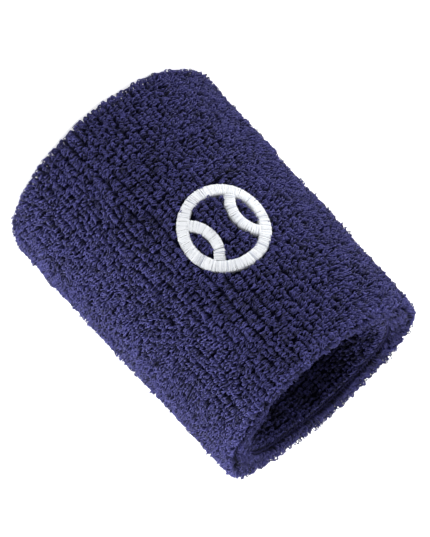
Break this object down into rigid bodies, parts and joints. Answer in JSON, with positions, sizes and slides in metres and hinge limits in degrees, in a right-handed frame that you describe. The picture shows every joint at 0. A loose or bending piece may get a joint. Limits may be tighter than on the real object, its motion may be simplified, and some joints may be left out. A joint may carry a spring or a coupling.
{
  "type": "sweat wristband",
  "caption": "Terry sweat wristband: a double-walled knitted tube of looped pile, folded at one end and seamed just inside the other, with a round satin-stitched ball emblem",
  "frame": {"origin": "middle of the folded end, on the plane the band stands on", "axes": "+Z along the bore from the folded end to the lip, -Y out of the middle of the emblem"},
  "size_m": [0.0588, 0.0588, 0.076],
  "materials": {
    "navy_terry": "looped cotton pile",
    "navy_ground": "plain knitted ground",
    "navy_thread": "twisted sewing thread",
    "covered_elastic": "covered elastic yarn",
    "white_satin": "satin-stitched rayon thread",
    "white_bobbin": "fine spun thread",
    "backing_cloth": "non-woven"
  },
  "bodies": {
    "root": {"outer_terry_pile": "navy_terry", "fold_terry_pile": "navy_terry", "inner_terry_pile": "navy_terry", "lip_terry_pile": "navy_terry", "ground_knit_tube": "navy_ground", "closing_seam_thread": "navy_thread", "outer_elastic_yarn": "covered_elastic", "inner_elastic_yarn": "covered_elastic", "emblem_outline": "white_satin", "emblem_left_curve": "white_satin", "emblem_right_curve": "white_satin", "bobbin_thread": "white_bobbin", "embroidery_backing": "backing_cloth"}
  },
  "joints": []
}
